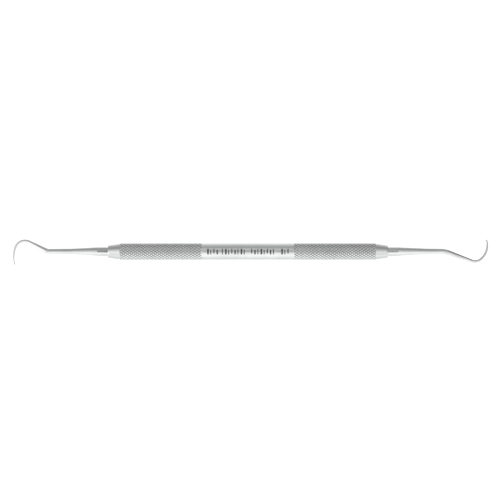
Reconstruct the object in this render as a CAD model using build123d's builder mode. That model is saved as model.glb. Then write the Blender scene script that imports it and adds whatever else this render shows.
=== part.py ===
from build123d import *
from math import asin, cos, sin
import os

# Double-ended dental explorer: a hollow knurled handle, a turned cone plug
# pressed into each end of it, and a bent working end pressed into each cone.
#
# Frame: the origin is on the handle's axis at the middle of its length. +X runs
# along the handle to the right-hand end, and +Z is up when the instrument lies on
# a table. It rests there on its handle, with the left-hand tip just clear of the
# table, so the plane of the two hooks leans about the X axis. All sizes are in
# millimetres.

os.makedirs("parts", exist_ok=True)

# ---- handle tube ----
HANDLE_RADIUS = 3.0      # plain band, and the crests of the knurl on the grips
BAND_LENGTH = 33.7       # plain band in the middle
GRIP_LENGTH = 30.1       # knurled grip at each side of the band
TUBE_WALL = 0.8
MOUTH_CHAMFER = 0.15     # lead-in at the mouth of the tube's bore

# ---- cone plugs ----
CONE_LENGTH = 4.45
CONE_LARGE_RADIUS = 2.93
CONE_SMALL_RADIUS = 2.27
CONE_EDGE_ROUND = 0.12   # broken edge at the small end
SPIGOT_LENGTH = 8.0      # inside the tube
SPIGOT_CHAMFER = 0.3
SOCKET_DEPTH = 10.0      # blind bore that holds the working end

# ---- working ends ----
TANG_RADIUS = 1.62       # in the socket, and the plain collar just outside it
TANG_CHAMFER = 0.25
COLLAR_LENGTH = 4.2      # plain stretch of the collar outside the cone
COLLAR_RELIEF = 0.6      # short run-out from the collar to the taper
TIP_CLEARANCE = 0.25     # between the left-hand tip and the table

# ---- worked out from the sizes above ----
tube_half = BAND_LENGTH / 2 + GRIP_LENGTH
bore_radius = HANDLE_RADIUS - TUBE_WALL
cone_end = tube_half + CONE_LENGTH
tang_start = cone_end - SOCKET_DEPTH

# The two ends are bent by hand and differ a little. Each is drawn outwards along
# +X of the hooks' plane: a shank on the axis, a bend to one side, a tapered slope,
# and a hook of two tangent arcs that turns back the other way to a fine tip.
ENDS = {
    "left": dict(
        outward=-1,              # direction along the handle's X
        taper_radius=1.58,       # where the taper leaves the collar
        taper_length=8.6,
        shank_radius=1.09,       # at the foot of the taper
        bend_start=72.7,         # distance of the bend from the handle's middle
        bend_radius=4.5,
        bend_angle=28.0,
        neck_radius=0.98,        # in the bend
        slope_length=6.3,
        root_radius=0.56,        # where the hook begins
        hook_radii=(3.65, 10.2),
        hook_angles=(96.0, 37.0),
        belly_radius=0.48,       # where the two arcs of the hook meet
        tip_radius=0.25,
    ),
    "right": dict(
        outward=1,
        taper_radius=1.56,
        taper_length=10.0,
        shank_radius=1.11,
        bend_start=71.5,
        bend_radius=5.7,
        bend_angle=19.5,
        neck_radius=1.03,
        slope_length=9.5,
        root_radius=0.65,
        hook_radii=(3.45, 6.55),
        hook_angles=(60.0, 67.0),
        belly_radius=0.56,
        tip_radius=0.34,
    ),
}


def centre_line(end, plane):
    """Centre line of one end from its bend to its tip: bend, slope, and the hook's two arcs."""
    root_turn, belly_turn = end["hook_angles"]
    root_curve, belly_curve = end["hook_radii"]
    with BuildLine(plane):
        bend = JernArc(
            start=(end["bend_start"], 0),
            tangent=(1, 0),
            radius=end["bend_radius"],
            arc_size=-end["bend_angle"],
        )
        slope = PolarLine(bend @ 1, end["slope_length"], direction=bend % 1)
        hook_root = JernArc(slope @ 1, slope % 1, root_curve, root_turn)
        hook_tip = JernArc(hook_root @ 1, hook_root % 1, belly_curve, belly_turn)
    return bend, slope, hook_root, hook_tip


# The left-hand tip reaches furthest from the handle's axis. The hooks' plane leans
# until that tip is almost as low as the handle is.
left_tip = centre_line(ENDS["left"], Plane.XY)[-1] @ 1
tip_drop = HANDLE_RADIUS - TIP_CLEARANCE - ENDS["left"]["tip_radius"]
lean = asin(tip_drop / abs(left_tip.Y))


def end_plane(outward):
    """The hooks' plane, with X running out of the handle at one end."""
    return Plane(origin=(0, 0, 0), x_dir=(outward, 0, 0), z_dir=(0, -sin(lean), cos(lean)))


def section_at(path, where):
    """Plane across a path at a fraction of its length."""
    return Plane(origin=path @ where, z_dir=path % where)


def make_cone(side):
    """Turned plug: tapered nose outside, spigot in the tube, blind socket for the tang."""
    plane = end_plane(ENDS[side]["outward"])
    spigot_end = tube_half - SPIGOT_LENGTH
    with BuildPart() as cone:
        with BuildSketch(plane):
            with BuildLine():
                Polyline(
                    (spigot_end, 0),
                    (spigot_end, bore_radius - SPIGOT_CHAMFER),
                    (spigot_end + SPIGOT_CHAMFER, bore_radius),
                    (tube_half, bore_radius),
                    (tube_half, CONE_LARGE_RADIUS),
                    (cone_end, CONE_SMALL_RADIUS),
                    (cone_end, TANG_RADIUS),
                    (tang_start, TANG_RADIUS),
                    (tang_start, 0),
                    close=True,
                )
            make_face()
        revolve(axis=Axis((0, 0, 0), plane.x_dir))
        face_edges = cone.edges().filter_by(GeomType.CIRCLE)
        nose_edge = face_edges.filter_by(lambda edge: abs(edge.radius - CONE_SMALL_RADIUS) < 0.01)
        fillet(nose_edge, radius=CONE_EDGE_ROUND)
    cone.part.label = f"cone_{side}"
    return cone.part


def make_working_end(side):
    """Tang, shank and hook in one piece of round tapering section."""
    end = ENDS[side]
    plane = end_plane(end["outward"])
    collar_end = cone_end + COLLAR_LENGTH
    taper_start = collar_end + COLLAR_RELIEF
    taper_end = taper_start + end["taper_length"]
    bend, slope, hook_root, hook_tip = centre_line(end, plane)

    with BuildPart() as working_end:
        # tang, collar, taper and straight shank, all turned about the axis
        with BuildSketch(plane):
            with BuildLine():
                Polyline(
                    (tang_start, 0),
                    (tang_start, TANG_RADIUS - TANG_CHAMFER),
                    (tang_start + TANG_CHAMFER, TANG_RADIUS),
                    (collar_end, TANG_RADIUS),
                    (taper_start, end["taper_radius"]),
                    (taper_end, end["shank_radius"]),
                    (end["bend_start"], end["neck_radius"]),
                    (end["bend_start"], 0),
                    close=True,
                )
            make_face()
        revolve(axis=Axis((0, 0, 0), plane.x_dir))
        # bend: one size all round
        with BuildSketch(section_at(bend, 0)):
            Circle(end["neck_radius"])
        sweep(path=bend)
        # slope: tapers to the root of the hook
        with BuildSketch(section_at(slope, 0)):
            Circle(end["neck_radius"])
        with BuildSketch(section_at(slope, 1)):
            Circle(end["root_radius"])
        loft()
        # hook: two arcs, each tapering
        with BuildSketch(section_at(hook_root, 0)):
            Circle(end["root_radius"])
        with BuildSketch(section_at(hook_root, 1)):
            Circle(end["belly_radius"])
        sweep(path=hook_root, multisection=True)
        with BuildSketch(section_at(hook_tip, 0)):
            Circle(end["belly_radius"])
        with BuildSketch(section_at(hook_tip, 1)):
            Circle(end["tip_radius"])
        sweep(path=hook_tip, multisection=True)
        # rounded point
        with Locations(hook_tip @ 1):
            Sphere(end["tip_radius"])
    working_end.part.label = f"working_end_{side}"
    return working_end.part


# ---- handle tube: plain band between two grips, bored through ----
with BuildPart() as handle_tube:
    with BuildSketch(end_plane(1)):
        with BuildLine():
            Polyline(
                (-tube_half, bore_radius + MOUTH_CHAMFER),
                (-tube_half, HANDLE_RADIUS),
                (tube_half, HANDLE_RADIUS),
                (tube_half, bore_radius + MOUTH_CHAMFER),
                (tube_half - MOUTH_CHAMFER, bore_radius),
                (-tube_half + MOUTH_CHAMFER, bore_radius),
                close=True,
            )
        make_face()
    revolve(axis=Axis.X)
handle_tube.part.label = "handle_tube"
export_step(handle_tube.part, "parts/handle_tube.step")

# ---- cones and working ends ----
for side_name in ENDS:
    for piece in (make_cone(side_name), make_working_end(side_name)):
        export_step(piece, f"parts/{piece.label}.step")
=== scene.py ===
import math

import bmesh
import bpy
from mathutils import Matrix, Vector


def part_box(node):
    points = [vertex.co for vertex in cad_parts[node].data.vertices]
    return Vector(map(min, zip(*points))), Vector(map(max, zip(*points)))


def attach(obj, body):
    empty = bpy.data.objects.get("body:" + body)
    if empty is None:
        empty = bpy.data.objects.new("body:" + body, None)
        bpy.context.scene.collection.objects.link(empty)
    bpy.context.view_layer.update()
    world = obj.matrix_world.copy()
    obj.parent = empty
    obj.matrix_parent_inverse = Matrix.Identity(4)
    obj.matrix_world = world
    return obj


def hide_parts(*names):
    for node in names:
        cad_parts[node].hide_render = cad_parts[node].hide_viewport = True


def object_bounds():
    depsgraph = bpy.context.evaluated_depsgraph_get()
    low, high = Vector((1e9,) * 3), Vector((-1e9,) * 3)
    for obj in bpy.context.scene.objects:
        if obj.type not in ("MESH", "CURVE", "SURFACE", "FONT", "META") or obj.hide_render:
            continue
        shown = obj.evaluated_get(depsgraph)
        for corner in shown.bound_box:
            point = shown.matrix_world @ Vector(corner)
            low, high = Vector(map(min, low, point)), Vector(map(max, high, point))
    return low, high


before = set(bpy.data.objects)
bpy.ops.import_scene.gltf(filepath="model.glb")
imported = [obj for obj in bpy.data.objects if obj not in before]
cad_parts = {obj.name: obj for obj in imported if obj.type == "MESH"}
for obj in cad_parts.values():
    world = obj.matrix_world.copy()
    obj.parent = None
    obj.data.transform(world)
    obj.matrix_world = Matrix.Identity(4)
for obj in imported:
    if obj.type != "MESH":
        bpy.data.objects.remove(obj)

# A double-ended dental explorer lying on its handle on a pale table, with the tip of
# its left-hand hook just clear of it, so that the plane of both hooks leans about X.
# The camera looks square to that plane. Sizes are in metres: MM turns a size in
# millimetres into metres. X runs along the handle, and Z points up.

cad_low, cad_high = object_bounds()
MM = 0.001

# ---------------------------------------------------------------- sizes

# from the CAD nodes
tube_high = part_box("handle_tube")[1]
spigot_low, cone_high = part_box("cone_right")
tang_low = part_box("working_end_right")[0]
HANDLE_R = max(tube_high.y, tube_high.z)     # plain band, and crests of the knurl
TUBE_HALF = tube_high.x
CONE_TIP = cone_high.x            # outer face of the cone
SPIGOT_END = spigot_low.x         # inner end of the cone's spigot
TANG_START = tang_low.x           # bottom of the socket in the cone

# handle tube
BORE_R = 2.2 * MM
BAND_HALF = 16.85 * MM            # half the length of the plain band
BAND_EDGE = 0.05 * MM             # broken edge at each end of the band
MOUTH_CHAMFER = 0.15 * MM         # lead-in of the bore
BORE_RINGS = 12

# diamond knurl: two families of V-grooves that cross, between worn crests
STARTS = 18                       # diamonds round the handle
KNURL_PITCH = 1.45 * MM           # length of one diamond along the handle
KNURL_CELLS = 6                   # mesh cells along one side of a diamond
KNURL_DEPTHS = (0.15 * MM, 0.03 * MM, 0.008 * MM, 0.0)   # from the groove to the crest
KNURL_FADE = 0.25 * MM            # the grooves run out over this length at each end
COLUMNS = STARTS * KNURL_CELLS    # vertices in each ring of the handle
PLAIN, ETCHED, BORED = 1, 2, 3    # places in the handle's list of materials, after the knurled steel

# etched marks on the band: plain bars in four groups
MARK_GROUPS = ((-14.9, 4), (-9.5, 8), (1.2, 8), (12.2, 3))   # mm of the first bar, bars
MARK_PITCH = 1.14 * MM
# the bars' sizes, by turns: mm along the band, and from where to where they go round it,
# in degrees from the high side of the hooks' plane
MARK_SIZES = ((0.60, 70, 110), (0.34, 76, 110), (0.40, 70, 104), (0.52, 76, 110), (0.34, 70, 110))

# cone plugs
CONE_LARGE_R = 2.93 * MM
CONE_SMALL_R = 2.27 * MM
CONE_ROUND = 0.14 * MM            # rounded edge of the nose
CONE_ROUND_STEPS = 6
CONE_BREAK = CONE_ROUND / 3       # broken edge at the mouth of the tube
CONE_TAPER_STEPS = 8
SPIGOT_CHAMFER = 0.3 * MM
SOCKET_CHAMFER = 0.07 * MM

# working ends: lengths along the centre line, radii of the round section
TANG_R = 1.62 * MM
COLLAR_END = CONE_TIP + 4.2 * MM
COLLAR_RELIEF = 0.6 * MM
TANG_CHAMFER = 0.25 * MM
RADIUS_BLEND = 0.9 * MM           # the section's changes are smoothed over this much each way
RADIUS_SAMPLES = 9
POINT_STEPS = 5                   # rings on the rounded point
WIRE_STEP = 0.16 * MM
WIRE_SEGMENTS = 40
TIP_CLEARANCE = 0.25 * MM         # between the left tip and the table
END_SHAPES = {
    "left": dict(
        outward=-1, taper_radius=1.58, taper_length=8.6, shank_radius=1.09,
        bend_start=72.7, bend_radius=4.5, bend_angle=28.0, neck_radius=0.98,
        slope_length=6.3, root_radius=0.56, hook_radii=(3.65, 10.2),
        hook_angles=(96.0, 37.0), belly_radius=0.48, tip_radius=0.25,
    ),
    "right": dict(
        outward=1, taper_radius=1.56, taper_length=10.0, shank_radius=1.11,
        bend_start=71.5, bend_radius=5.7, bend_angle=19.5, neck_radius=1.03,
        slope_length=9.5, root_radius=0.65, hook_radii=(3.45, 6.55),
        hook_angles=(60.0, 67.0), belly_radius=0.56, tip_radius=0.34,
    ),
}

ROUND_SEGMENTS = 96               # round the cones
SHARP_ANGLE = math.radians(32)

# table, camera
FRAME_WIDTH = 184 * MM            # width of the picture at the handle
CAMERA_CENTRE = (0.77 * MM, 0.57 * MM)
LENS = 100.0
SENSOR = 36.0
FLOOR_SIZE = 6.0


# ---------------------------------------------------------------- centre lines

def follow(x, y, heading, curvature, length):
    """Point and heading after a length of straight line or arc."""
    if curvature == 0.0:
        return x + length * math.cos(heading), y + length * math.sin(heading), heading
    turned = heading + curvature * length
    return (x + (math.sin(turned) - math.sin(heading)) / curvature,
            y - (math.cos(turned) - math.cos(heading)) / curvature, turned)


def centre_line(shape):
    """Function from length along an end's centre line to its point and heading, and the
    lengths at which the bend starts and ends, the slope ends, the belly lies and the tip is."""
    # each run's turn in degrees and its radius, or 0 and its length where it is straight
    runs = [(-shape["bend_angle"], shape["bend_radius"]), (0.0, shape["slope_length"])]
    runs += list(zip(shape["hook_angles"], shape["hook_radii"]))
    length = shape["bend_start"] * MM
    place = (length, 0.0, 0.0)
    spans = [(0.0, (0.0, 0.0, 0.0), 0.0)]          # length at the start, place there, curvature
    marks = [length]
    for turn, size in runs:
        angle = math.radians(turn)
        run = (abs(angle) or 1.0) * size * MM
        spans.append((length, place, angle / run))
        place = follow(*place, angle / run, run)
        length += run
        marks.append(length)

    def at(s):
        start, place, curvature = [span for span in spans if span[0] <= s][-1]
        return follow(*place, curvature, s - start)
    return at, marks


def tip_lean():
    """Angle of the hooks' plane at which the left tip is almost as low as the handle."""
    shape = END_SHAPES["left"]
    at, marks = centre_line(shape)
    drop = HANDLE_R - TIP_CLEARANCE - shape["tip_radius"] * MM
    return math.asin(drop / abs(at(marks[-1])[1]))


LEAN = tip_lean()


def leaned(x, y, z):
    """A point given in the hooks' plane, Z square to it, as a point of the frame."""
    return x, y * math.cos(LEAN) - z * math.sin(LEAN), y * math.sin(LEAN) + z * math.cos(LEAN)


# ---------------------------------------------------------------- mesh helpers

def finished_piece(name, bm, materials, node):
    """Turns a bmesh into a piece that stands for a CAD node."""
    bmesh.ops.recalc_face_normals(bm, faces=bm.faces[:])
    mesh = bpy.data.meshes.new(name)
    bm.to_mesh(mesh)
    bm.free()
    for material in materials:
        mesh.materials.append(material)
    for face in mesh.polygons:
        face.use_smooth = True
    mesh.set_sharp_from_angle(angle=SHARP_ANGLE)
    piece = bpy.data.objects.new(name, mesh)
    bpy.context.scene.collection.objects.link(piece)
    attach(piece, "root")
    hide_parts(node)
    return piece


def bridge(bm, first, second, material=0):
    """Quads between two closed rings of the same number of vertices."""
    count = len(first)
    for k in range(count):
        face = bm.faces.new((first[k], second[k], second[(k + 1) % count], first[(k + 1) % count]))
        face.material_index = material


def round_ring(bm, x, radius, count):
    """A ring of vertices about the X axis."""
    angles = [2 * math.pi / count * k for k in range(count)]
    return [bm.verts.new((x, radius * math.cos(a), radius * math.sin(a))) for a in angles]


def cap(bm, ring, x):
    """Closes a ring with a fan about a point on the axis."""
    centre = bm.verts.new((x, 0.0, 0.0))
    for k in range(len(ring)):
        bm.faces.new((centre, ring[k], ring[(k + 1) % len(ring)]))


# ---------------------------------------------------------------- materials

class Nodes:
    """Short calls that add nodes to a tree."""

    def __init__(self, tree, coords):
        self.tree = tree
        self.coords = tree.nodes.new("ShaderNodeTexCoord").outputs[coords]

    def plug(self, value, socket):
        if isinstance(value, bpy.types.NodeSocket):
            self.tree.links.new(value, socket)
        else:
            socket.default_value = value

    def math(self, operation, a, b=0.0):
        node = self.tree.nodes.new("ShaderNodeMath")
        node.operation = operation
        self.plug(a, node.inputs[0])
        self.plug(b, node.inputs[1])
        return node.outputs[0]

    def stretched(self, scale):
        node = self.tree.nodes.new("ShaderNodeMapping")
        node.inputs["Scale"].default_value = scale
        self.tree.links.new(self.coords, node.inputs["Vector"])
        return node.outputs[0]

    def split(self):
        node = self.tree.nodes.new("ShaderNodeSeparateXYZ")
        self.tree.links.new(self.coords, node.inputs[0])
        return node.outputs["X"], node.outputs["Y"], node.outputs["Z"]

    def noise(self, scale, detail=3.0, roughness=0.55, vector=None):
        node = self.tree.nodes.new("ShaderNodeTexNoise")
        node.inputs["Scale"].default_value = scale
        node.inputs["Detail"].default_value = detail
        node.inputs["Roughness"].default_value = roughness
        self.tree.links.new(vector or self.coords, node.inputs["Vector"])
        return node.outputs["Fac"]

    def ranged(self, value, low, high, to_low, to_high):
        node = self.tree.nodes.new("ShaderNodeMapRange")
        self.plug(value, node.inputs["Value"])
        node.inputs["From Min"].default_value = low
        node.inputs["From Max"].default_value = high
        node.inputs["To Min"].default_value = to_low
        node.inputs["To Max"].default_value = to_high
        return node.outputs["Result"]

    def curve(self, value, points, top):
        """Straight runs through (value, result) points; results lie between 0 and top."""
        start, end = points[0][0], points[-1][0]
        node = self.tree.nodes.new("ShaderNodeValToRGB")
        self.plug(self.ranged(value, start, end, 0.0, 1.0), node.inputs["Fac"])
        stops = node.color_ramp.elements
        while len(stops) < len(points):
            stops.new(0.5)
        for stop, (place, result) in zip(stops, points):
            stop.position = (place - start) / (end - start)
            stop.color = (result / top, result / top, result / top, 1)
        return self.math("MULTIPLY", node.outputs["Color"], top)

    def mixed(self, factor, a, b, kind="RGBA"):
        node = self.tree.nodes.new("ShaderNodeMix")
        node.data_type = kind
        first, second, result = {"RGBA": (6, 7, 2), "FLOAT": (2, 3, 0)}[kind]
        self.plug(factor, node.inputs[0])
        self.plug(a, node.inputs[first])
        self.plug(b, node.inputs[second])
        return node.outputs[result]

    def bumped(self, height, strength, distance):
        node = self.tree.nodes.new("ShaderNodeBump")
        node.inputs["Strength"].default_value = strength
        node.inputs["Distance"].default_value = distance
        self.plug(height, node.inputs["Height"])
        return node.outputs["Normal"]


class Shader(Nodes):
    """A material with one Principled shader, built up by short calls."""

    def __init__(self, name):
        self.material = bpy.data.materials.new(name)
        self.material.use_nodes = True
        super().__init__(self.material.node_tree, "Object")
        self.principled = self.tree.nodes["Principled BSDF"]


def steel(name, tint, dark_tint, roughness, line_scale, line_height):
    """Stainless steel: fine tool lines, faint smudges, and a slightly uneven colour."""
    shader = Shader(name)
    lines = shader.noise(1.0, detail=2.0, vector=shader.stretched(line_scale))
    clouds = shader.noise(160.0, detail=4.0)
    colour = shader.mixed(shader.ranged(clouds, 0.35, 0.7, 0.0, 1.0), (*dark_tint, 1), (*tint, 1))
    uneven = SMUDGE / 2
    wear = shader.math(
        "ADD",
        shader.ranged(lines, 0.3, 0.7, -uneven, uneven),
        shader.ranged(clouds, 0.3, 0.7, roughness - uneven, roughness + uneven),
    )
    surface = shader.principled
    surface.inputs["Metallic"].default_value = 1.0
    shader.plug(colour, surface.inputs["Base Color"])
    shader.plug(wear, surface.inputs["Roughness"])
    shader.plug(shader.bumped(lines, 0.6, line_height), surface.inputs["Normal"])
    return shader


def knurled():
    """Steel with painted shade in its knurl grooves: the colour darkens from the crests down to the
    groove bottoms.
    """
    shader = steel("knurled_steel", STEEL, KNURL_DARKER, 0.24, RINGS, 0.003 * MM)
    x, y, z = shader.split()
    square = shader.math("ADD", shader.math("MULTIPLY", y, y), shader.math("MULTIPLY", z, z))
    radius = shader.math("SQRT", square)
    # painted shade: the base colour goes darker towards the bottoms of the knurl grooves
    out_of_groove_shade = shader.ranged(radius, HANDLE_R - KNURL_DEPTHS[0], HANDLE_R - KNURL_DEPTHS[1], 0.0, 1.0)
    socket = shader.principled.inputs["Base Color"]
    shader.plug(shader.mixed(out_of_groove_shade, GROOVE_SHADE, socket.links[0].from_socket), socket)
    return shader.material


def etched():
    """Laser-etched bars: dark, matt oxide on the steel."""
    shader = Shader("etched_mark")
    grain = shader.noise(9000.0, detail=2.0)
    colour = shader.mixed(grain, OXIDE_DARKEST, OXIDE_PALEST)
    surface = shader.principled
    surface.inputs["Metallic"].default_value = 0.0
    surface.inputs["Specular IOR Level"].default_value = 0.35
    shader.plug(colour, surface.inputs["Base Color"])
    shader.plug(shader.ranged(grain, 0.3, 0.7, 0.5, 0.7), surface.inputs["Roughness"])
    shader.plug(shader.bumped(grain, 0.4, 0.004 * MM), surface.inputs["Normal"])
    return shader.material


# tool lines: rings round the handle, or strokes along the shank
RINGS = (14000.0, 300.0, 300.0)
STROKES = (500.0, 9000.0, 9000.0)

SMUDGE = 0.06                     # how much the roughness varies

# colours: each steel drifts between a paler and a darker one
STEEL = (0.62, 0.634, 0.625)
STEEL_DARKER = (0.565, 0.578, 0.57)
KNURL_DARKER = (0.55, 0.562, 0.556)
CONE_STEEL = (0.60, 0.614, 0.605)
CONE_DARKER = (0.555, 0.568, 0.56)
BORE_STEEL = (0.50, 0.505, 0.50)
BORE_DARKER = (0.42, 0.425, 0.42)
# painted shade in the bottoms of the knurl grooves
GROOVE_SHADE = (0.19, 0.194, 0.194, 1)
OXIDE_DARKEST = (0.030, 0.032, 0.034, 1)
OXIDE_PALEST = (0.075, 0.078, 0.080, 1)

knurl_steel = knurled()
band_steel = steel("band_steel", STEEL, STEEL_DARKER, 0.17, RINGS, 0.0012 * MM).material
bore_steel = steel("bore_steel", BORE_STEEL, BORE_DARKER, 0.42, RINGS, 0.004 * MM).material
cone_steel = steel("cone_steel", CONE_STEEL, CONE_DARKER, 0.17, RINGS, 0.0012 * MM).material
wire_steel = steel("polished_steel", STEEL, STEEL_DARKER, 0.11, STROKES, 0.0006 * MM).material
etched_mark = etched()


# ---------------------------------------------------------------- handle tube

def knurl_drop(row, column, from_end):
    """How far a lattice point of the knurl lies below the crests."""
    side_a = (row + column) // 2 % KNURL_CELLS
    side_b = (row - column) // 2 % KNURL_CELLS
    to_groove = min(side_a, KNURL_CELLS - side_a, side_b, KNURL_CELLS - side_b)
    return KNURL_DEPTHS[to_groove] * min(1.0, from_end / KNURL_FADE)


def etched_bars():
    """Start and end of each etched bar along the band, and its edges round it."""
    bars = []
    for first, count in MARK_GROUPS:
        for k in range(count):
            start = first * MM + k * MARK_PITCH
            width, top, bottom = MARK_SIZES[len(bars) % len(MARK_SIZES)]
            bars.append((start, start + width * MM, math.radians(top), math.radians(bottom)))
    return bars


def make_handle():
    """Tube with two knurled grips. The knurl's mesh lines follow its grooves."""
    bm = bmesh.new()
    turn = math.pi / COLUMNS                       # between neighbouring lattice columns
    grip_length = TUBE_HALF - BAND_HALF
    rows = round(grip_length / (KNURL_PITCH / KNURL_CELLS / 2))
    step = grip_length / rows

    def lattice_ring(row, x, radius=None):
        """Vertices of one lattice row: every second column, shifted by one in odd rows."""
        ring = []
        for k in range(COLUMNS):
            column = 2 * k + row % 2
            from_end = min(abs(x) - BAND_HALF, TUBE_HALF - abs(x))
            r = radius or HANDLE_R - knurl_drop(row, column, max(from_end, 0.0))
            ring.append(bm.verts.new((x, r * math.cos(turn * column), r * math.sin(turn * column))))
        return ring

    def knurl(first_row, x_start):
        """Diamond cells between two edge rows; triangles fill the zigzag at both ends."""
        rings = [lattice_ring(first_row + i, x_start + i * step) for i in range(rows + 1)]
        for i in range(rows - 1):
            shift = (first_row + i) % 2
            for k in range(COLUMNS):
                ahead, behind = (k + shift) % COLUMNS, (k + shift - 1) % COLUMNS
                bm.faces.new((rings[i][k], rings[i + 1][ahead], rings[i + 2][k], rings[i + 1][behind]))
        shift = first_row % 2
        for k in range(COLUMNS):
            bm.faces.new((rings[0][k], rings[0][(k + 1) % COLUMNS], rings[1][(k + shift) % COLUMNS]))
        shift = (first_row + rows) % 2
        for k in range(COLUMNS):
            bm.faces.new((rings[-1][k], rings[-1][(k + 1) % COLUMNS], rings[-2][(k + shift) % COLUMNS]))
        return rings[0], rings[-1]

    left_outer, left_inner = knurl(0, -TUBE_HALF)
    right_inner, right_outer = knurl(rows, BAND_HALF)

    # plain band, with an edge line at each side of every etched bar
    bars = etched_bars()
    stations = {-BAND_HALF + BAND_EDGE, BAND_HALF - BAND_EDGE}
    for bar in bars:
        stations.update(bar[:2])
    previous, previous_x = left_inner, -BAND_HALF
    for x in sorted(stations):
        ring = lattice_ring(rows, x, HANDLE_R)
        bridge(bm, previous, ring, PLAIN)
        for start, end, top, bottom in bars:
            if start <= (previous_x + x) / 2 <= end:
                for face in {face for vertex in ring for face in vertex.link_faces}:
                    centre = face.calc_center_median()
                    if top < math.atan2(centre.z, centre.y) - LEAN < bottom:
                        face.material_index = ETCHED
        previous, previous_x = ring, x
    bridge(bm, previous, right_inner, PLAIN)

    # the bore, with a lead-in at each mouth
    flat_half = TUBE_HALF - MOUTH_CHAMFER
    bore = [(-TUBE_HALF, BORE_R + MOUTH_CHAMFER)]
    for k in range(BORE_RINGS + 1):
        bore.append((flat_half * (2 * k / BORE_RINGS - 1), BORE_R))
    bore.append((TUBE_HALF, BORE_R + MOUTH_CHAMFER))
    previous = left_outer
    for x, radius in bore:
        ring = lattice_ring(0, x, radius)
        bridge(bm, previous, ring, BORED)
        previous = ring
    bridge(bm, previous, right_outer, BORED)
    return finished_piece("handle", bm, (knurl_steel, band_steel, etched_mark, bore_steel),
                          "handle_tube")


# ---------------------------------------------------------------- cone plugs

def make_cone(side, outward):
    """Turned plug: spigot in the tube, tapered nose, socket for the tang."""
    slope = math.atan2(CONE_LARGE_R - CONE_SMALL_R, CONE_TIP - TUBE_HALF)
    profile = [
        (SPIGOT_END, BORE_R - SPIGOT_CHAMFER),
        (SPIGOT_END + SPIGOT_CHAMFER, BORE_R),
        (TUBE_HALF, BORE_R),
        (TUBE_HALF, CONE_LARGE_R - CONE_BREAK),
        (TUBE_HALF + CONE_BREAK, CONE_LARGE_R),
    ]
    # rounded nose edge: an arc from the taper to the end face
    start_angle = math.pi / 2 - slope
    centre_x = CONE_TIP - CONE_ROUND
    centre_r = CONE_SMALL_R - CONE_ROUND * math.tan(start_angle / 2)
    nose = []
    for k in range(CONE_ROUND_STEPS + 1):
        a = start_angle * (1 - k / CONE_ROUND_STEPS)
        nose.append((centre_x + CONE_ROUND * math.cos(a), centre_r + CONE_ROUND * math.sin(a)))
    taper_start = profile[-1]
    for k in range(1, CONE_TAPER_STEPS):
        t = k / CONE_TAPER_STEPS
        profile.append((taper_start[0] + (nose[0][0] - taper_start[0]) * t,
                        taper_start[1] + (nose[0][1] - taper_start[1]) * t))
    profile += nose
    profile += [
        (CONE_TIP, TANG_R + SOCKET_CHAMFER),
        (CONE_TIP - SOCKET_CHAMFER, TANG_R),
        (TANG_START, TANG_R),
    ]
    bm = bmesh.new()
    first = previous = None
    for x, radius in profile:
        ring = round_ring(bm, outward * x, radius, ROUND_SEGMENTS)
        if previous:
            bridge(bm, previous, ring)
        else:
            first = ring
        previous = ring
    cap(bm, first, outward * SPIGOT_END)
    cap(bm, previous, outward * TANG_START)
    return finished_piece(f"cone_plug_{side}", bm, (cone_steel,), f"cone_{side}")


# ---------------------------------------------------------------- working ends

def radius_along(stations):
    """Radius as a function of length: straight between stations, then smoothed."""
    def straight(s):
        for (s0, r0), (s1, r1) in zip(stations, stations[1:]):
            if s <= s1:
                return r0 + (r1 - r0) * max(0.0, (s - s0) / (s1 - s0))
        return stations[-1][1]

    def smoothed(s):
        last = RADIUS_SAMPLES - 1
        offsets = [(2 * k / last - 1) * RADIUS_BLEND for k in range(RADIUS_SAMPLES)]
        return sum(straight(s + o) for o in offsets) / RADIUS_SAMPLES
    return straight, smoothed


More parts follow.
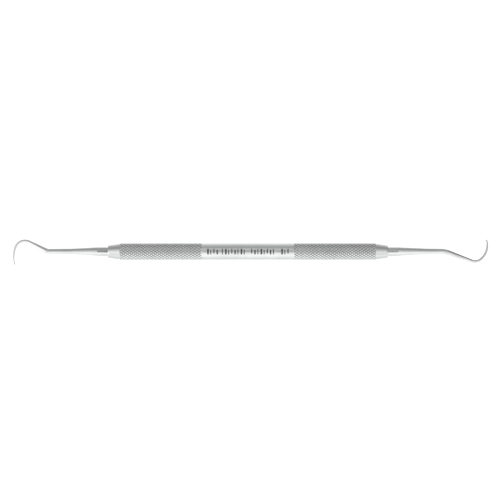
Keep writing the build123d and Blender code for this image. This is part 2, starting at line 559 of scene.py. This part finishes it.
def make_working_end(side):
    """Tang, collar, taper, shank and hook in one round, tapering piece."""
    shape = END_SHAPES[side]
    outward = shape["outward"]
    at, marks = centre_line(shape)
    bend_end, slope_end, belly, tip = marks[1:]
    taper_start = COLLAR_END + COLLAR_RELIEF
    taper_end = taper_start + shape["taper_length"] * MM
    stations = [
        (taper_start, shape["taper_radius"] * MM),
        (taper_end, shape["shank_radius"] * MM),
        (bend_end, shape["neck_radius"] * MM),
        (slope_end, shape["root_radius"] * MM),
        (belly, shape["belly_radius"] * MM),
        (tip, shape["tip_radius"] * MM),
    ]
    straight, smoothed = radius_along(stations)
    bm = bmesh.new()

    def ring_at(s, radius):
        x, y, heading = at(s)
        ring = []
        for k in range(WIRE_SEGMENTS):
            phi = 2 * math.pi * k / WIRE_SEGMENTS
            across = radius * math.cos(phi)
            px = x - across * math.sin(heading)
            py = y + across * math.cos(heading)
            ring.append(bm.verts.new(leaned(outward * px, outward * py, radius * math.sin(phi))))
        return ring

    rings = [
        ring_at(TANG_START, TANG_R - TANG_CHAMFER),
        ring_at(TANG_START + TANG_CHAMFER, TANG_R),
        ring_at(CONE_TIP, TANG_R),
        ring_at(COLLAR_END - COLLAR_RELIEF, TANG_R),
        ring_at(COLLAR_END, TANG_R),
        ring_at(COLLAR_END + COLLAR_RELIEF / 2, (TANG_R + straight(taper_start)) / 2),
        ring_at(taper_start, straight(taper_start)),
    ]
    count = math.ceil((tip - taper_start) / WIRE_STEP)
    for k in range(1, count + 1):
        s = taper_start + (tip - taper_start) * k / count
        near_start = min(1.0, (s - taper_start) / RADIUS_BLEND)
        radius = straight(s) * (1 - near_start) + smoothed(s) * near_start
        rings.append(ring_at(s, radius))
    # rounded point
    tip_radius = smoothed(tip)
    for k in range(1, POINT_STEPS):
        a = math.pi / 2 * k / POINT_STEPS
        rings.append(ring_at(tip + tip_radius * math.sin(a), tip_radius * math.cos(a)))
    for first, second in zip(rings, rings[1:]):
        bridge(bm, first, second)
    cap(bm, rings[0], outward * TANG_START)
    x, y = at(tip + tip_radius)[:2]
    point = bm.verts.new(leaned(outward * x, outward * y, 0.0))
    for k in range(WIRE_SEGMENTS):
        bm.faces.new((rings[-1][k], rings[-1][(k + 1) % WIRE_SEGMENTS], point))
    return finished_piece(f"explorer_tip_{side}", bm, (wire_steel,),
                          f"working_end_{side}")


# ---------------------------------------------------------------- table, light, camera

# Painted light: glow of the table by Y in millimetres. It fades near the handle as a painted shade,
# and on the side that the hooks rise to. Beside the thin ends it stays brighter.
GLOW_HANDLE = ((-60, 1.20), (-14, 1.10), (-7, 0.92), (-4, 0.76), (0, 0.76), (20, 0.78), (60, 1.00))
GLOW_ENDS = ((-60, 1.06), (-3, 1.06), (0, 0.92), (3, 0.78), (20, 0.78), (60, 1.00))
GLOW_TOP = 1.3                    # more than any glow above
ENDS_FROM, ENDS_TO = 53 * MM, 62 * MM     # distance along X where one gives way to the other


def make_floor():
    """Pale table with painted light: it glows a little so that shadows stay faint, and its glow is
    painted darker near the handle as a painted shade.
    """
    bm = bmesh.new()
    bmesh.ops.create_grid(bm, x_segments=8, y_segments=8, size=FLOOR_SIZE / 2)
    mesh = bpy.data.meshes.new("table")
    bm.to_mesh(mesh)
    bm.free()
    floor = bpy.data.objects.new("table", mesh)
    bpy.context.scene.collection.objects.link(floor)
    floor.location.z = cad_low.z
    shader = Shader("pale_table")
    x, y = shader.split()[:2]
    row = shader.math("DIVIDE", y, MM)
    aside = shader.ranged(shader.math("ABSOLUTE", x), ENDS_FROM, ENDS_TO, 0.0, 1.0)
    beside_handle = shader.curve(row, GLOW_HANDLE, GLOW_TOP)
    beside_ends = shader.curve(row, GLOW_ENDS, GLOW_TOP)
    # painted light and shade: the table's glow, dimmed near the handle
    glow = shader.mixed(aside, beside_handle, beside_ends, "FLOAT")
    surface = shader.principled
    surface.inputs["Base Color"].default_value = (0.45, 0.45, 0.45, 1)
    surface.inputs["Roughness"].default_value = 0.9
    surface.inputs["Specular IOR Level"].default_value = 0.0
    surface.inputs["Emission Color"].default_value = (1, 1, 1, 1)
    shader.plug(glow, surface.inputs["Emission Strength"])
    mesh.materials.append(shader.material)


# Brightness round the sky, by angle in degrees from the camera's direction, from the
# horizon on the hooks' low side over the top to the horizon on their high side. The
# curves run from the plane square to the handle out to either side of it.
SKY_MIDDLE = ((-56, 1.40), (-30, 1.30), (-18, 1.15), (-8, 0.80), (0, 0.58), (12, 0.60), (25, 0.80),
              (40, 0.80), (55, 0.55), (75, 0.55), (95, 0.80), (126, 0.90))
SKY_SIDES = ((-56, 1.50), (-33, 1.38), (-16, 1.18), (0, 0.92), (17, 0.74), (35, 0.56), (52, 0.46),
             (75, 0.46), (95, 0.50), (126, 0.52))
SKY_ENDS = ((-56, 1.10), (-33, 1.18), (-16, 1.25), (0, 1.18), (17, 0.94), (35, 0.62), (52, 0.44),
            (72, 0.44), (95, 0.66), (126, 0.95))
SKY_FAR = ((-56, 1.50), (-33, 1.42), (-16, 1.05), (0, 0.74), (17, 0.50), (35, 0.40), (52, 0.35),
           (72, 0.33), (95, 0.33), (126, 0.38))
SKY_TOP = 2.0                     # more than any brightness above
SKY_BANDS = ((0.05, 0.10, SKY_SIDES), (0.22, 0.30, SKY_ENDS), (0.40, 0.48, SKY_FAR))   # X from, to
LEFT_TO_RIGHT = ((-1.0, 1.9), (-0.7, 1.9), (-0.46, 1.5), (-0.36, 1.07), (0.41, 1.07), (0.48, 0.82),
                 (0.75, 0.62), (1.0, 0.58))
BACKDROP = 0.93                   # what the camera itself sees of the sky

# the camera's own dark reflection, which only the collars show
LENS_X = (0.092, 0.100, 0.120, 0.130)     # X where it starts, is full, starts to fade, ends
LENS_HALF = 24.0                  # degrees to each side of the camera's direction
LENS_EDGE = 5.0
LENS_LIGHT = 0.08                 # part of the light that is left in it


def make_sky():
    """Soft studio light: bright on the hooks' low side, dim on the other, darker on the right."""
    world = bpy.data.worlds.new("studio")
    bpy.context.scene.world = world
    world.use_nodes = True
    sky = Nodes(world.node_tree, "Generated")
    x, y, z = sky.split()
    up, out = math.sin(LEAN), math.cos(LEAN)
    across = sky.math("ADD", sky.math("MULTIPLY", y, out), sky.math("MULTIPLY", z, up))
    facing = sky.math("SUBTRACT", sky.math("MULTIPLY", z, out), sky.math("MULTIPLY", y, up))
    angle = sky.math("DEGREES", sky.math("ARCTAN2", across, facing))
    side = sky.math("ABSOLUTE", x)
    lit = sky.curve(angle, SKY_MIDDLE, SKY_TOP)
    for start, end, curve in SKY_BANDS:
        inward = sky.ranged(side, start, end, 0.0, 1.0)
        lit = sky.mixed(inward, lit, sky.curve(angle, curve, SKY_TOP), "FLOAT")
    lit = sky.math("MULTIPLY", lit, sky.curve(x, LEFT_TO_RIGHT, SKY_TOP))

    start, full, fade, end = LENS_X
    starting = sky.ranged(side, start, full, 0.0, 1.0)
    ending = sky.ranged(side, fade, end, 1.0, 0.0)
    along = sky.math("MULTIPLY", starting, ending)
    off_middle = sky.math("ABSOLUTE", angle)
    height = sky.ranged(off_middle, LENS_HALF - LENS_EDGE, LENS_HALF + LENS_EDGE, 1.0, 0.0)
    lens = sky.math("MULTIPLY", along, height)
    lit = sky.math("MULTIPLY", lit, sky.ranged(lens, 0.0, 1.0, 1.0, LENS_LIGHT))

    seen = world.node_tree.nodes.new("ShaderNodeLightPath").outputs["Is Camera Ray"]
    background = world.node_tree.nodes["Background"]
    background.inputs["Color"].default_value = (1, 1, 1, 1)
    sky.plug(sky.mixed(seen, lit, BACKDROP, "FLOAT"), background.inputs["Strength"])


def make_camera():
    """Camera square to the hooks' plane."""
    data = bpy.data.cameras.new("camera")
    data.lens = LENS
    data.sensor_width = SENSOR
    data.clip_start = 0.01
    data.clip_end = 100.0
    camera = bpy.data.objects.new("camera", data)
    bpy.context.scene.collection.objects.link(camera)
    camera.location = leaned(*CAMERA_CENTRE, FRAME_WIDTH * LENS / SENSOR)
    camera.rotation_euler = (LEAN, 0, 0)
    bpy.context.scene.camera = camera


bpy.context.scene.view_settings.view_transform = "Standard"
make_camera()
make_floor()
make_sky()
make_handle()
for side_name in END_SHAPES:
    make_cone(side_name, END_SHAPES[side_name]["outward"])
    make_working_end(side_name)
